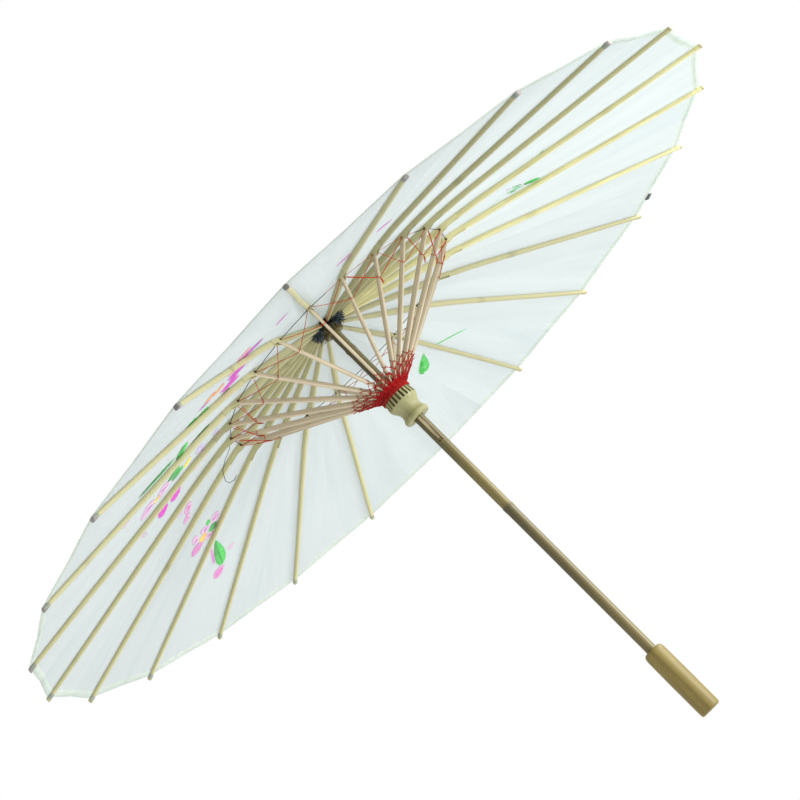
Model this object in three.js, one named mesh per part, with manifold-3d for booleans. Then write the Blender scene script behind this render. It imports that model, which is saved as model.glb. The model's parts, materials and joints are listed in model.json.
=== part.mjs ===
// Oil paper umbrella, shown open. Millimetres, +Z up along the shaft, origin at the centre
// of the handle's end face. Rib 22 points along +Y and rib 11 along -Y.
import * as THREE from "three";
import { mergeVertices } from "three/addons/utils/BufferGeometryUtils.js";
import Module from "manifold-3d";

const wasm = await Module();
wasm.setup();

// ---- driving dimensions -------------------------------------------------------------------
const RIBS = 22;
const PITCH = (2 * Math.PI) / RIBS;
const GAP = 0.3; // clearance between pieces that touch on the real thing

const HANDLE = { radius: 9.8, length: 71.5, foot: 1.2, shoulder: 4.5, boreFloor: 12 };
const SHAFT = { radius: 5.2, bottom: 12.5, top: 512 };

const HUB = { r: 11, z: 485 }; // pivot of every rib in the top notch
const JOINT = { r: 135, z: 467 }; // pivot of stretcher in rib
const TIP = { r: 411, z: 406 }; // outer end of a rib
const FOOT = { r: 13.5, z: 398 }; // pivot of stretcher in runner
const RIM = { r: 404.5 }; // the rim thread passes through the ribs here

const RIB = { headWidth: 1.5, width: 4.7, tipWidth: 3.8, eye: 0.8 };
const FORK = { width: 2.9, inward: 9, outward: 40 };
const STRETCHER = { depth: 4.8, width: 3.0, endWidth: 2.2, footWidth: 1.8, eye: 0.8 };

const NOTCH = { radius: 13.3, neck: 10.6, bottom: 473, top: 492, slotTop: 488, slotFloor: 8.3 };
const RUNNER = { bottom: 362.5, top: 410.5, bore: 5.75, slotBottom: 382, slotFloor: 10.2 };
const CATCH = { bottom: 333, top: 362, width: 3.2, thick: 1.5, footR: 2.9, tipR: 6.2 };
const CATCH_SLOT = { bottom: 329, top: 366, width: 4.2, floor: 0.4 };
const NOTCH_PIN = { radius: 0.8, z: 490, length: 23 };
const CATCH_PIN = {
  radius: 0.7, y: -(CATCH.footR - 0.1), z: CATCH.bottom + 1.6, length: 8.4,
};

const CLOTH = { inner: 14.6, outer: 407.5, above: 0.35, thick: 0.6 };
const CROWN = { inner: 5.8, outer: 24, thick: 0.7 };
const FINIAL = { bottom: 497, top: 531 };
const THREAD = 0.4; // radius of every thread

// ---- materials ----------------------------------------------------------------------------
const paint = (colour, roughness) =>
  new THREE.MeshStandardMaterial({ color: colour, roughness, metalness: 0 });
const RIB_BAMBOO = () => paint(0xc9b978, 0.55);
const STRETCHER_BAMBOO = () => paint(0xd2a184, 0.6);
const TURNED_WOOD = () => paint(0xd9c68c, 0.5);
const DARK_BAMBOO = () => paint(0x5a4a22, 0.35);
const CLOTH_WHITE = () => paint(0xe9efeb, 0.8);
const RED_THREAD = () => paint(0xb3202a, 0.85);
const DARK_THREAD = () => paint(0x20222c, 0.9);
const PALE_THREAD = () => paint(0xdfe4dd, 0.9);

// ---- solid helpers ------------------------------------------------------------------------
function solid(geometry) {
  const bare = geometry.index ? geometry.toNonIndexed() : geometry.clone();
  bare.deleteAttribute("normal");
  bare.deleteAttribute("uv");
  const merged = mergeVertices(bare, 1e-4);
  return new wasm.Manifold(new wasm.Mesh({
    numProp: 3,
    vertProperties: Float32Array.from(merged.attributes.position.array),
    triVerts: Uint32Array.from(merged.index.array),
  }));
}

function meshFrom(body) {
  const out = body.getMesh();
  const geometry = new THREE.BufferGeometry();
  geometry.setAttribute("position", new THREE.Float32BufferAttribute(out.vertProperties, 3));
  geometry.setIndex(new THREE.Uint32BufferAttribute(out.triVerts, 1));
  const flat = geometry.toNonIndexed();
  flat.computeVertexNormals();
  return flat;
}

const points = (pairs) => pairs.map(([x, y]) => new THREE.Vector2(x, y));

const turned = (profile, segments = 44) =>
  solid(new THREE.LatheGeometry(points(profile), segments).rotateX(Math.PI / 2));

// a box given by its two corners
function block(low, high) {
  const size = high.map((v, i) => v - low[i]);
  const middle = high.map((v, i) => (v + low[i]) / 2);
  return solid(new THREE.BoxGeometry(...size).translate(...middle));
}

// a round bar along Y through (x, z)
const crossBar = (radius, x, z, length, segments = 10) =>
  solid(new THREE.CylinderGeometry(radius, radius, length, segments).translate(x, 0, z));

// side view (radius, height) extruded across, and plan view (radius, across) extruded upwards
function sideSlab(outline, width) {
  const slab = new THREE.ExtrudeGeometry(new THREE.Shape(points(outline)), {
    depth: width, bevelEnabled: false,
  });
  return solid(slab.rotateX(Math.PI / 2).translate(0, width / 2, 0));
}

function planSlab(halfWidths, bottom, top) {
  const left = halfWidths.map(([x, half]) => [x, -half]);
  const right = halfWidths.map(([x, half]) => [x, half]).reverse();
  const slab = new THREE.ExtrudeGeometry(new THREE.Shape(points([...left, ...right])), {
    depth: top - bottom, bevelEnabled: false,
  });
  return solid(slab.translate(0, 0, bottom));
}

const sideways = (body) => body.rotate([0, 0, 90]);
const aroundAxis = (body, angle) => body.rotate([0, 0, THREE.MathUtils.radToDeg(angle)]);
const ribAngle = (k) => Math.PI / 2 + k * PITCH;

// the same cut repeated at every rib angle
function everyRib(body) {
  const copies = [];
  for (let k = 1; k <= RIBS; k++) copies.push(aroundAxis(body, ribAngle(k)));
  return wasm.Manifold.union(copies);
}

// a straight-sided thread ring that bends only where it crosses a rib
function threadRing(radius, z, thread, perRib = 1) {
  const around = RIBS * perRib;
  const sides = 6;
  const position = [];
  for (let i = 0; i < around; i++) {
    const angle = Math.PI / 2 + (i * 2 * Math.PI) / around;
    for (let j = 0; j < sides; j++) {
      const turn = (j * 2 * Math.PI) / sides;
      const r = radius + thread * Math.cos(turn);
      position.push(r * Math.cos(angle), r * Math.sin(angle), z + thread * Math.sin(turn));
    }
  }
  const index = [];
  for (let i = 0; i < around; i++) {
    const next = ((i + 1) % around) * sides;
    for (let j = 0; j < sides; j++) {
      const a = i * sides + j;
      const b = i * sides + ((j + 1) % sides);
      const c = next + j;
      const d = next + ((j + 1) % sides);
      index.push(a, c, b, b, c, d);
    }
  }
  const geometry = new THREE.BufferGeometry();
  geometry.setAttribute("position", new THREE.Float32BufferAttribute(position, 3));
  geometry.setIndex(index);
  return solid(geometry);
}

// ---- rib ----------------------------------------------------------------------------------
// The rib is straight from hub to joint, bends down over a short stretch past the joint,
// and is straight again to the tip.
const RIB_SLOPE = (HUB.z - JOINT.z) / (JOINT.r - HUB.r);
const BEND = 60;
const OUTER_RUN = TIP.r - JOINT.r;
const BOW = (JOINT.z - RIB_SLOPE * OUTER_RUN - TIP.z) / (BEND * (2 * OUTER_RUN - BEND));

function ribLine(r) {
  const past = Math.max(r - JOINT.r, 0);
  const curved = Math.min(past, BEND);
  const drop = BOW * (curved ** 2 + 2 * curved * (past - curved));
  return HUB.z - RIB_SLOPE * (r - HUB.r) - drop;
}

// piecewise straight value between [place, value] pairs
function between(table, x) {
  const i = table.findIndex(([place]) => place >= x);
  if (i <= 0) return i === 0 ? table[0][1] : table[table.length - 1][1];
  const [x0, y0] = table[i - 1];
  const [x1, y1] = table[i];
  return y0 + ((y1 - y0) * (x - x0)) / (x1 - x0);
}

const RIB_TOP = [[8.9, 1.6], [10, 2.2], [60, 2.6], [JOINT.r, 3.0], [TIP.r, 1.7]];
const RIB_UNDER = [
  [8.9, 1.4], [10.2, 2.2], [60, 2.6], [115, 3.3], [JOINT.r + 12, 3.4], [JOINT.r + 34, 1.9],
  [TIP.r, 1.5],
];
const RIB_STATIONS = [8.9, 10.1, 60, 115, 135, 147, 158, 169, 182, 195, 300, TIP.r];
const ribTop = (r) => ribLine(r) + between(RIB_TOP, r);
const ribUnder = (r) => ribLine(r) - between(RIB_UNDER, r);

function makeRib() {
  const outline = [
    ...RIB_STATIONS.map((r) => [r, ribUnder(r)]),
    ...RIB_STATIONS.map((r) => [r, ribTop(r)]).reverse(),
  ];
  const half = RIB.width / 2;
  const plan = planSlab([
    [HUB.r - 3, RIB.headWidth / 2], [HUB.r + 6, RIB.headWidth / 2], [HUB.r + 20, 1.25],
    [HUB.r + 60, 1.75], [HUB.r + 100, half], [JOINT.r + FORK.outward, half],
    [TIP.r + 1, RIB.tipWidth / 2],
  ], TIP.z - 20, HUB.z + 20);
  const forkHalf = FORK.width / 2;
  const forkEnd = JOINT.r + FORK.outward;
  const fork = block([JOINT.r - FORK.inward, -forkHalf, ribLine(forkEnd) - 8],
    [forkEnd, forkHalf, JOINT.z + 12]);
  const cuts = [fork];
  for (const [eye, z] of [[HUB.r, HUB.z], [JOINT.r, JOINT.z], [RIM.r, ribLine(RIM.r)]]) {
    cuts.push(crossBar(RIB.eye, eye, z, 12, 8));
  }
  return sideSlab(outline, 8).intersect(plan).subtract(wasm.Manifold.union(cuts));
}

// ---- stretcher ----------------------------------------------------------------------------
// Drawn lying along +X from its joint eye, then turned down to its place.
const STRETCHER_LENGTH = Math.hypot(JOINT.r - FOOT.r, JOINT.z - FOOT.z);
const STRETCHER_ANGLE = Math.atan2(JOINT.z - FOOT.z, JOINT.r - FOOT.r);

function makeStretcher() {
  const length = STRETCHER_LENGTH;
  const deep = STRETCHER.depth / 2;
  const outline = [
    [-2, -1.1], [0, -2.0], [8, -2.0], [40, -deep], [length - 12, -deep], [length - 1, -2.1],
    [length + 2, -1.1], [length + 2, 1.1], [length - 1, 2.1], [length - 12, deep], [60, deep],
    [30, 1.9], [8, 1.7], [0, 2.0], [-2, 1.1],
  ];
  const end = STRETCHER.endWidth / 2;
  const plan = planSlab([
    [-3, end], [44, end], [56, STRETCHER.width / 2], [length - 30, STRETCHER.width / 2],
    [length - 18, STRETCHER.footWidth / 2], [length + 3, STRETCHER.footWidth / 2],
  ], -8, 8);
  const eyes = wasm.Manifold.union(
    [0, length].map((x) => crossBar(STRETCHER.eye, x, 0, 8, 8)));
  const turn = 180 - THREE.MathUtils.radToDeg(STRETCHER_ANGLE);
  return sideSlab(outline, 6).intersect(plan).subtract(eyes)
    .rotate([0, turn, 0]).translate([JOINT.r, 0, JOINT.z]);
}

// ---- turned and hollow pieces -------------------------------------------------------------
function makeHandle() {
  const { radius, length, foot, shoulder, boreFloor } = HANDLE;
  const dome = [0, 18, 36, 54, 72, 90].map((deg) => {
    const a = THREE.MathUtils.degToRad(deg);
    return [radius - shoulder * (1 - Math.cos(a)), length - shoulder * (1 - Math.sin(a))];
  });
  return turned([
    [0, 0], [radius - foot, 0], [radius, foot], ...dome, [SHAFT.radius + GAP + 0.1, length],
    [SHAFT.radius + GAP, length - 0.4], [SHAFT.radius + GAP, boreFloor], [0, boreFloor],
  ]);
}

function makeShaft() {
  const { radius, bottom, top } = SHAFT;
  const rod = turned([
    [0, bottom], [radius - 0.5, bottom], [radius, bottom + 0.5], [radius, top - 0.5],
    [radius - 0.5, top], [0, top],
  ]);
  const half = CATCH_SLOT.width / 2;
  const slot = block([-half, -radius - 2, CATCH_SLOT.bottom],
    [half, -CATCH_SLOT.floor, CATCH_SLOT.top]);
  const pinHole = crossBar(NOTCH_PIN.radius + GAP, 0, NOTCH_PIN.z, 3 * radius, 12);
  const catchHole = sideways(
    crossBar(CATCH_PIN.radius + GAP, 0, CATCH_PIN.z, 3 * radius, 12),
  ).translate([0, CATCH_PIN.y, 0]);
  return rod.subtract(wasm.Manifold.union([slot, pinHole, catchHole]));
}


function makeNotch() {
  const bore = SHAFT.radius + GAP;
  const { radius, neck, bottom, top, slotTop, slotFloor } = NOTCH;
  const body = turned([
    [bore, bottom], [neck - 1, bottom], [neck, bottom + 1], [neck, bottom + 3],
    [radius, bottom + 6], [radius, top - 1.2], [radius - 1.2, top], [bore, top], [bore, bottom],
  ]);
  const slot = everyRib(block([slotFloor, -1, bottom - 1], [radius + 1, 1, slotTop]));
  const groove = turned([
    [HUB.r - 0.9, HUB.z - 0.9], [radius + 1, HUB.z - 0.9], [radius + 1, HUB.z + 0.9],
    [HUB.r - 0.9, HUB.z + 0.9], [HUB.r - 0.9, HUB.z - 0.9],
  ]);
  const pinHole = crossBar(NOTCH_PIN.radius + GAP, 0, NOTCH_PIN.z, 3 * radius, 12);
  return body.subtract(wasm.Manifold.union([slot, groove, pinHole]));
}

function makeRunner() {
  const { bottom, top, bore, slotBottom, slotFloor } = RUNNER;
  const body = turned([
    [bore, bottom], [11.4, bottom], [12.4, bottom + 1], [12.4, bottom + 4.5],
    [11, bottom + 6.5], [10.9, bottom + 14.5], [12.6, slotBottom - 2.2], [15.3, slotBottom + 1],
    [15.5, slotBottom + 3.4], [14.6, FOOT.z - 8], [14.4, FOOT.z + 3], [13.2, top - 3],
    [10.6, top], [bore, top], [bore, bottom],
  ]);
  const slot = everyRib(block([slotFloor, -1.15, slotBottom], [18, 1.15, top + 2]));
  const groove = turned([
    [FOOT.r - 0.9, FOOT.z - 0.9], [18, FOOT.z - 0.9], [18, FOOT.z + 0.9],
    [FOOT.r - 0.9, FOOT.z + 0.9], [FOOT.r - 0.9, FOOT.z - 0.9],
  ]);
  return body.subtract(wasm.Manifold.union([slot, groove]));
}

function makeFinial() {
  const { bottom, top } = FINIAL;
  const bore = SHAFT.radius + GAP;
  return turned([
    [bore, bottom], [9.6, bottom], [10.6, bottom + 1], [10.6, bottom + 3], [8.2, bottom + 5],
    [8.4, bottom + 8], [10, bottom + 13], [10.2, bottom + 17], [8.8, bottom + 22],
    [5.6, bottom + 27], [3.4, bottom + 30], [2.6, top - 1.2], [1.6, top - 0.2], [0, top],
    [0, SHAFT.top + 0.6], [bore, SHAFT.top + 0.6], [bore, bottom],
  ]);
}

// a springy bamboo tongue hinged low in the shaft slot, its top edge under the runner
function makeCatch() {
  const { bottom, top, width, thick, footR, tipR } = CATCH;
  const outline = [
    [footR - thick, bottom], [footR, bottom], [tipR, top - 2], [tipR, top], [tipR - thick, top],
    [tipR - thick, top - 3.5],
  ];
  const tongue = sideSlab(outline, width);
  const eye = crossBar(CATCH_PIN.radius + GAP, -CATCH_PIN.y, CATCH_PIN.z, 8, 12);
  const boss = crossBar(1.7, -CATCH_PIN.y, CATCH_PIN.z, width, 16);
  return aroundAxis(tongue.add(boss).subtract(eye), -Math.PI / 2);
}

// ---- cloth --------------------------------------------------------------------------------
// One sheet stretched from rib to rib: it follows every rib and is straight between ribs.
function makeCanopy() {
  const stations = [
    CLOTH.inner, 60, 115, 135, 147, 158, 169, 182, 195, 300, CLOTH.outer,
  ];
  const layers = [CLOTH.above, CLOTH.above + CLOTH.thick];
  const position = [];
  for (const lift of layers) {
    for (const r of stations) {
      for (let k = 0; k < RIBS; k++) {
        const angle = ribAngle(k);
        position.push(r * Math.cos(angle), r * Math.sin(angle), ribTop(r) + lift);
      }
    }
  }
  const rings = stations.length;
  const at = (layer, ring, k) => (layer * rings + ring) * RIBS + (k % RIBS);
  const index = [];
  const quad = (a, b, c, d) => index.push(a, b, c, a, c, d);
  for (let k = 0; k < RIBS; k++) {
    for (let i = 0; i + 1 < rings; i++) {
      quad(at(1, i, k), at(1, i + 1, k), at(1, i + 1, k + 1), at(1, i, k + 1));
      quad(at(0, i, k), at(0, i, k + 1), at(0, i + 1, k + 1), at(0, i + 1, k));
    }
    quad(at(0, 0, k), at(1, 0, k), at(1, 0, k + 1), at(0, 0, k + 1));
    quad(at(0, rings - 1, k), at(0, rings - 1, k + 1), at(1, rings - 1, k + 1),
      at(1, rings - 1, k));
  }
  const geometry = new THREE.BufferGeometry();
  geometry.setAttribute("position", new THREE.Float32BufferAttribute(position, 3));
  geometry.setIndex(index);
  return solid(geometry);
}

// a small round patch over the notch that hides the inner edge of the canopy
function makeCrown() {
  const { inner, outer, thick } = CROWN;
  const over = (r) => ribTop(r) + CLOTH.above + CLOTH.thick + GAP + 0.1;
  const flat = Math.max(over(CLOTH.inner), NOTCH.top + GAP);
  return turned([
    [inner, flat], [CLOTH.inner, flat], [outer, over(outer)], [outer, over(outer) + thick],
    [CLOTH.inner, flat + thick], [inner, flat + thick], [inner, flat],
  ]);
}

// ---- assembly -----------------------------------------------------------------------------
const umbrella = new THREE.Group();
umbrella.name = "oil_paper_umbrella";

function place(name, body, material) {
  const mesh = new THREE.Mesh(meshFrom(body), material);
  mesh.name = name;
  umbrella.add(mesh);
}

place("handle", makeHandle(), TURNED_WOOD());
place("shaft", makeShaft(), DARK_BAMBOO());
place("top_notch", makeNotch(), TURNED_WOOD());
place("notch_pin", crossBar(NOTCH_PIN.radius, 0, NOTCH_PIN.z, NOTCH_PIN.length, 12),
  RIB_BAMBOO());
place("notch_thread", threadRing(HUB.r, HUB.z, THREAD, 2), DARK_THREAD());
place("finial", makeFinial(), TURNED_WOOD());
place("crown_cover", makeCrown(), CLOTH_WHITE());
place("canopy", makeCanopy(), CLOTH_WHITE());
place("rim_thread", threadRing(RIM.r, ribLine(RIM.r), THREAD), PALE_THREAD());
place("runner", makeRunner(), TURNED_WOOD());
place("runner_thread", threadRing(FOOT.r, FOOT.z, THREAD, 2), RED_THREAD());
place("joint_thread", threadRing(JOINT.r, JOINT.z, THREAD), DARK_THREAD());
place("spring_catch", makeCatch(), RIB_BAMBOO());
place("catch_pin", sideways(
  crossBar(CATCH_PIN.radius, 0, CATCH_PIN.z, CATCH_PIN.length, 12),
).translate([0, CATCH_PIN.y, 0]), DARK_BAMBOO());

const rib = makeRib();
const stretcher = makeStretcher();
for (let k = 1; k <= RIBS; k++) {
  const number = String(k).padStart(2, "0");
  place(`rib_${number}`, aroundAxis(rib, ribAngle(k)), RIB_BAMBOO());
  place(`stretcher_${number}`, aroundAxis(stretcher, ribAngle(k)), STRETCHER_BAMBOO());
}

export default umbrella;
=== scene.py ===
"""The looks of the umbrella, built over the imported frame. Shapes are drawn in millimetres."""
import itertools
import json
import random
from math import atan2, copysign, cos, exp, hypot, log, pi, radians, sin, sqrt, tan

import bpy
from mathutils import Matrix, Vector

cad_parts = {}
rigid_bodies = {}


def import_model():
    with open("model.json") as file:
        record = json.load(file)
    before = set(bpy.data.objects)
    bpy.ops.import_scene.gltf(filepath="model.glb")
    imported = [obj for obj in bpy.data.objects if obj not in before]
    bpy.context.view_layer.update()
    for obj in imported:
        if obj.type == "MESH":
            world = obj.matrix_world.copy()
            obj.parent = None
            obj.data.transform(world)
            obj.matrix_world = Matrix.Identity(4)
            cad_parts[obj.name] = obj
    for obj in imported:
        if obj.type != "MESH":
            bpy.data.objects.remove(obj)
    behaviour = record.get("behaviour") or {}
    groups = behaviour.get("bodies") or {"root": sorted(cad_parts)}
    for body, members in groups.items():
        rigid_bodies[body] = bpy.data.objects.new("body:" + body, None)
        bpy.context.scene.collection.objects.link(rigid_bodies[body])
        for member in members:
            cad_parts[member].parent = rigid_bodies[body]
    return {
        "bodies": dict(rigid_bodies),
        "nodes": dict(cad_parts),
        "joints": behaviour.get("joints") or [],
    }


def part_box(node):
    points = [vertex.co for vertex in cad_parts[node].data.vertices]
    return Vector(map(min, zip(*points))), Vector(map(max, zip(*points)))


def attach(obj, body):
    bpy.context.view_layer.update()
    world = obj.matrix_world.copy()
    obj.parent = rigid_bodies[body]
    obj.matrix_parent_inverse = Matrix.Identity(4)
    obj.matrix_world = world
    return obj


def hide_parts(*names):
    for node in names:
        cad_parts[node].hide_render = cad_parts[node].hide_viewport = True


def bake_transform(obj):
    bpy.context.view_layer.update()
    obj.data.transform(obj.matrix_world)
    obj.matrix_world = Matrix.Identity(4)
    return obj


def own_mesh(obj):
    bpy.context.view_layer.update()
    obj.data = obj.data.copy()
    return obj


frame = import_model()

for name in ("Cube", "Camera", "Light"):  # what a new Blender file starts with
    if name in bpy.data.objects:
        bpy.data.objects.remove(bpy.data.objects[name])

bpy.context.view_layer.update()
MM = 0.001

# ---- sizes taken from the frame ----
JOINTS = {joint["name"]: joint for joint in frame["joints"]}
RIBS = sum(name.startswith("rib_") for name in frame["bodies"])
PITCH = 2 * pi / RIBS


def radial(name):
    """(radius, height) of a hinge or slide, in millimetres."""
    x, y, z = JOINTS[name]["pos_m"]
    return hypot(x, y) / MM, z / MM


def heights(name):
    """The lowest and highest points of one of the frame's nodes."""
    return [corner[2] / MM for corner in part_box(name)]


HUB_R, HUB_Z = radial("rib_11_hinge")
JOINT_R, JOINT_Z = radial("stretcher_11_hinge")
TIP_R = -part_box("rib_11")[0][1] / MM
THREAD_R = 0.4  # radius of the frame's threads
FOOT_R, FOOT_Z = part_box("runner_thread")[1][1] / MM - THREAD_R, radial("runner_slide")[1]
HANDLE_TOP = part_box("handle")[1][2] / MM
SHAFT_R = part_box("shaft")[1][0] / MM
RUNNER_LOW, RUNNER_HIGH = heights("runner")
NOTCH_LOW, NOTCH_HIGH = heights("top_notch")
HEM_PROUD = 0.6  # the hem reaches this far past the frame's cloth
CLOTH_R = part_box("canopy")[1][1] / MM + HEM_PROUD
RIM_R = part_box("rim_thread")[1][1] / MM - THREAD_R
LIFT = 0.6  # the cloth lies this far above the ribs
TIP_Z = 406.0  # height of a rib's middle line at its tip
BEND = 60.0  # past its joint a rib bends down over this stretch, and is straight again beyond
RIB_SLOPE = (HUB_Z - JOINT_Z) / (JOINT_R - HUB_R)
OUTER = TIP_R - JOINT_R
BOW = (JOINT_Z - RIB_SLOPE * OUTER - TIP_Z) / (BEND * (2 * OUTER - BEND))
STRETCHER_LENGTH = hypot(JOINT_R - FOOT_R, JOINT_Z - FOOT_Z)
STRETCHER_ANGLE = atan2(JOINT_Z - FOOT_Z, JOINT_R - FOOT_R)


def neighbours(items, closed=False):
    """Each item with the next one, and the last with the first if they close on themselves."""
    return list(zip(items, items[1:])) + ([(items[-1], items[0])] if closed else [])


def circle(count):
    """Angles spread evenly round a circle."""
    return [2 * pi * j / count for j in range(count)]


def bell(x, width):
    """A smooth hump, 1 high at its middle."""
    return exp(-((x / width) ** 2))


def table(stops, x):
    """Straight-line value between (place, value) stops."""
    if x <= stops[0][0]:
        return stops[0][1]
    for (x0, y0), (x1, y1) in neighbours(stops):
        if x <= x1:
            return y0 + (y1 - y0) * (x - x0) / (x1 - x0)
    return stops[-1][1]


def rib_line(r):
    """Height of a rib's middle line."""
    past = max(r - JOINT_R, 0)
    curved = min(past, BEND)
    return HUB_Z - RIB_SLOPE * (r - HUB_R) - BOW * (curved**2 + 2 * curved * (past - curved))


def rib_top(r):
    return rib_line(r) + table([(8.9, 1.6), (10, 2.2), (60, 2.6), (135, 3.0), (411, 1.7)], r)


def rib_angle(k):
    return pi / 2 + k * PITCH


def on_cloth(spot, lift):
    """The point over a flat spot, lift above the ribs. The cloth is straight between ribs."""
    r, a = hypot(spot.x, spot.y), atan2(spot.y, spot.x) - pi / 2
    off = abs((a + PITCH / 2) % PITCH - PITCH / 2)
    along = r * cos(PITCH / 2 - off) / cos(PITCH / 2)
    return spot.x, spot.y, rib_top(along) + lift


# ---- node materials ----
class Shader:
    """A small builder for node materials."""

    def __init__(self, name):
        self.material = bpy.data.materials.new(name)
        self.material.use_nodes = True
        self.tree = self.material.node_tree
        self.tree.nodes.clear()
        self.out = self.add("ShaderNodeOutputMaterial")

    def add(self, kind, inputs=None, **settings):
        node = self.tree.nodes.new(kind)
        for key, value in settings.items():
            setattr(node, key, value)
        for key, value in (inputs or {}).items():
            if isinstance(value, bpy.types.NodeSocket):
                self.tree.links.new(value, node.inputs[key])
            else:
                node.inputs[key].default_value = value
        return node

    def stored(self, name, output="Fac"):
        """What the piece stores on its points under a name."""
        return self.add("ShaderNodeAttribute", attribute_name=name).outputs[output]

    def place(self, scale):
        """The piece's own coordinates, stretched by scale."""
        return self.add("ShaderNodeMapping", {
            "Vector": self.stored("place", "Vector"), "Scale": scale}).outputs["Vector"]

    def noise(self, scale, detail, rough=0.55):
        return self.add("ShaderNodeTexNoise", {
            "Vector": self.place(scale), "Scale": 1.0, "Detail": detail,
            "Roughness": rough}).outputs["Fac"]

    def wave(self, scale, distortion):
        return self.add("ShaderNodeTexWave", {
            "Vector": self.place(scale), "Scale": 1.0, "Distortion": distortion},
            bands_direction="DIAGONAL").outputs["Fac"]

    def ramp(self, value, *stops):
        node = self.add("ShaderNodeValToRGB", {"Fac": value})
        points = node.color_ramp.elements
        while len(points) < len(stops):
            points.new(0.5)
        for point, (at, colour) in zip(points, stops):
            point.position = at
            point.color = (*colour, 1)
        return node.outputs["Color"]

    def span(self, value, low, high, from_low=0.0, from_high=1.0):
        """Maps from_low..from_high to low..high and stops at both ends."""
        return self.add("ShaderNodeMapRange", {
            "Value": value, "From Min": from_low, "From Max": from_high, "To Min": low,
            "To Max": high}).outputs["Result"]

    def mix(self, factor, a, b):
        """Mixes two colours, each a socket or a (red, green, blue)."""
        a, b = (c if isinstance(c, bpy.types.NodeSocket) else (*c, 1) for c in (a, b))
        return self.add("ShaderNodeMix", {0: factor, 6: a, 7: b}, data_type="RGBA").outputs[2]

    def bump(self, height, strength, distance):
        return self.add("ShaderNodeBump", {
            "Height": height, "Strength": strength, "Distance": distance}).outputs["Normal"]

    def blend(self, share, a, b):
        return self.add("ShaderNodeMixShader", {0: share, 1: a.outputs[0], 2: b.outputs[0]})

    def finish(self, shader):
        self.tree.links.new(shader.outputs[0], self.out.inputs["Surface"])
        return self.material


def wood(name, light, dark, grain, gloss, bump=0.25, deep=0.4):
    """Bamboo or turned wood: fine streaks along the piece, blotches and pores. Points with tone 1
    are darker by the share deep, and with tone 2 they are nearly black. The tone holds real knots
    and stains, and painted shade and light as well."""
    s = Shader(name)
    streak = s.noise(grain, 6.0, 0.6)
    blotch = s.noise((14, 60, 60), 3.0)
    tone = s.stored("tone")
    base = s.ramp(streak, (0.3, dark), (0.62, light))
    base = s.mix(s.span(blotch, 0.0, 0.35, 0.35, 0.7), base, dark)
    base = s.mix(s.span(tone, 0.0, deep), base, [c * 0.55 for c in light])
    base = s.mix(s.span(tone, 0.0, 1.0, 1.0, 2.0), base, [c * 0.22 for c in dark])
    pores = s.noise([g * 2.5 for g in grain], 2.0)
    shader = s.add("ShaderNodeBsdfPrincipled", {
        "Base Color": base, "Roughness": s.span(streak, gloss - 0.07, gloss + 0.12),
        "Normal": s.bump(pores, bump, 0.0004)})
    return s.finish(shader)


def thread(name, colour, dark):
    """Twisted yarn: slanted strands with fuzz between."""
    s = Shader(name)
    twist = s.wave((1400, 900, 900), 2.5)
    fuzz = s.noise((900, 900, 900), 3.0)
    # the grooves of the twist take the dark colour: painted shade between the strands; patches of
    # fuzz darken it too
    base = s.mix(s.span(fuzz, 0.1, 0.8, 0.3, 0.7), s.ramp(twist, (0.2, dark), (0.8, colour)), dark)
    shader = s.add("ShaderNodeBsdfPrincipled", {
        "Base Color": base, "Roughness": 0.85, "Specular IOR Level": 0.15,
        "Normal": s.bump(twist, 0.6, 0.0003)})
    return s.finish(shader)


def cloth(name, tint, clear):
    """Thin woven cloth that lets light through, with faint strands and ripples."""
    s = Shader(name)
    strands = s.noise((16, 480, 1), 5.0, 0.65)
    ripple = s.noise((4, 34, 1), 3.0, 0.5)
    weave = s.wave((2200, 2200, 1), 1.0)
    base = s.ramp(strands, (0.3, [c * 0.9 for c in tint]), (0.62, tint))
    # darker along the ripples: painted shade in the cloth's wrinkles
    dusk = [c * share for c, share in zip(tint, (0.84, 0.87, 0.885))]
    base = s.mix(s.span(ripple, 0.0, 1.0, 0.42, 0.75), base, dusk)
    tone = s.stored("tone")
    # the stored tone darkens the cloth: painted shade
    base = s.mix(s.span(tone, 0.0, 1.0), base, [c * 0.6 for c in tint])
    height = s.add("ShaderNodeMath", {0: s.span(ripple, 0, 3), 1: s.span(weave, 0, 0.1)},
                   operation="ADD").outputs[0]
    normal = s.bump(height, 0.35, 0.0008)
    front = s.add("ShaderNodeBsdfDiffuse", {"Color": base, "Roughness": 0.6, "Normal": normal})
    through = s.add("ShaderNodeBsdfTranslucent", {"Color": base, "Normal": normal})
    sheen = s.add("ShaderNodeBsdfGlossy", {"Color": (1, 1, 1, 1), "Roughness": 0.55,
                                           "Normal": normal})
    lit = s.blend(0.04, s.blend(0.45, front, through), sheen)
    gaps = s.add("ShaderNodeBsdfTransparent")
    return s.finish(s.blend(s.span(strands, clear * 0.7, clear * 1.3), lit, gaps))


def watercolour(name):
    """Paint soaked into the cloth; its tint and strength are stored on its points."""
    s = Shader(name)
    wash = s.noise((160, 520, 1), 4.0, 0.6)
    colour = s.mix(s.span(wash, 0.0, 0.3, 0.35, 0.7), s.stored("tint", "Color"),
                   (0.95, 0.93, 0.93))
    front = s.add("ShaderNodeBsdfDiffuse", {"Color": colour})
    through = s.add("ShaderNodeBsdfTranslucent", {"Color": colour})
    lit = s.blend(0.4, front, through)
    gaps = s.add("ShaderNodeBsdfTransparent")
    soaked = s.add("ShaderNodeMath", {0: s.stored("fade"), 1: 2.3},
                   operation="MULTIPLY").outputs[0]
    strength = s.add("ShaderNodeMath", {0: soaked, 1: s.span(wash, 0.2, 1.5, 0.3, 0.75)},
                     operation="SUBTRACT", use_clamp=True).outputs[0]
    return s.finish(s.blend(strength, gaps, lit))


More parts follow.
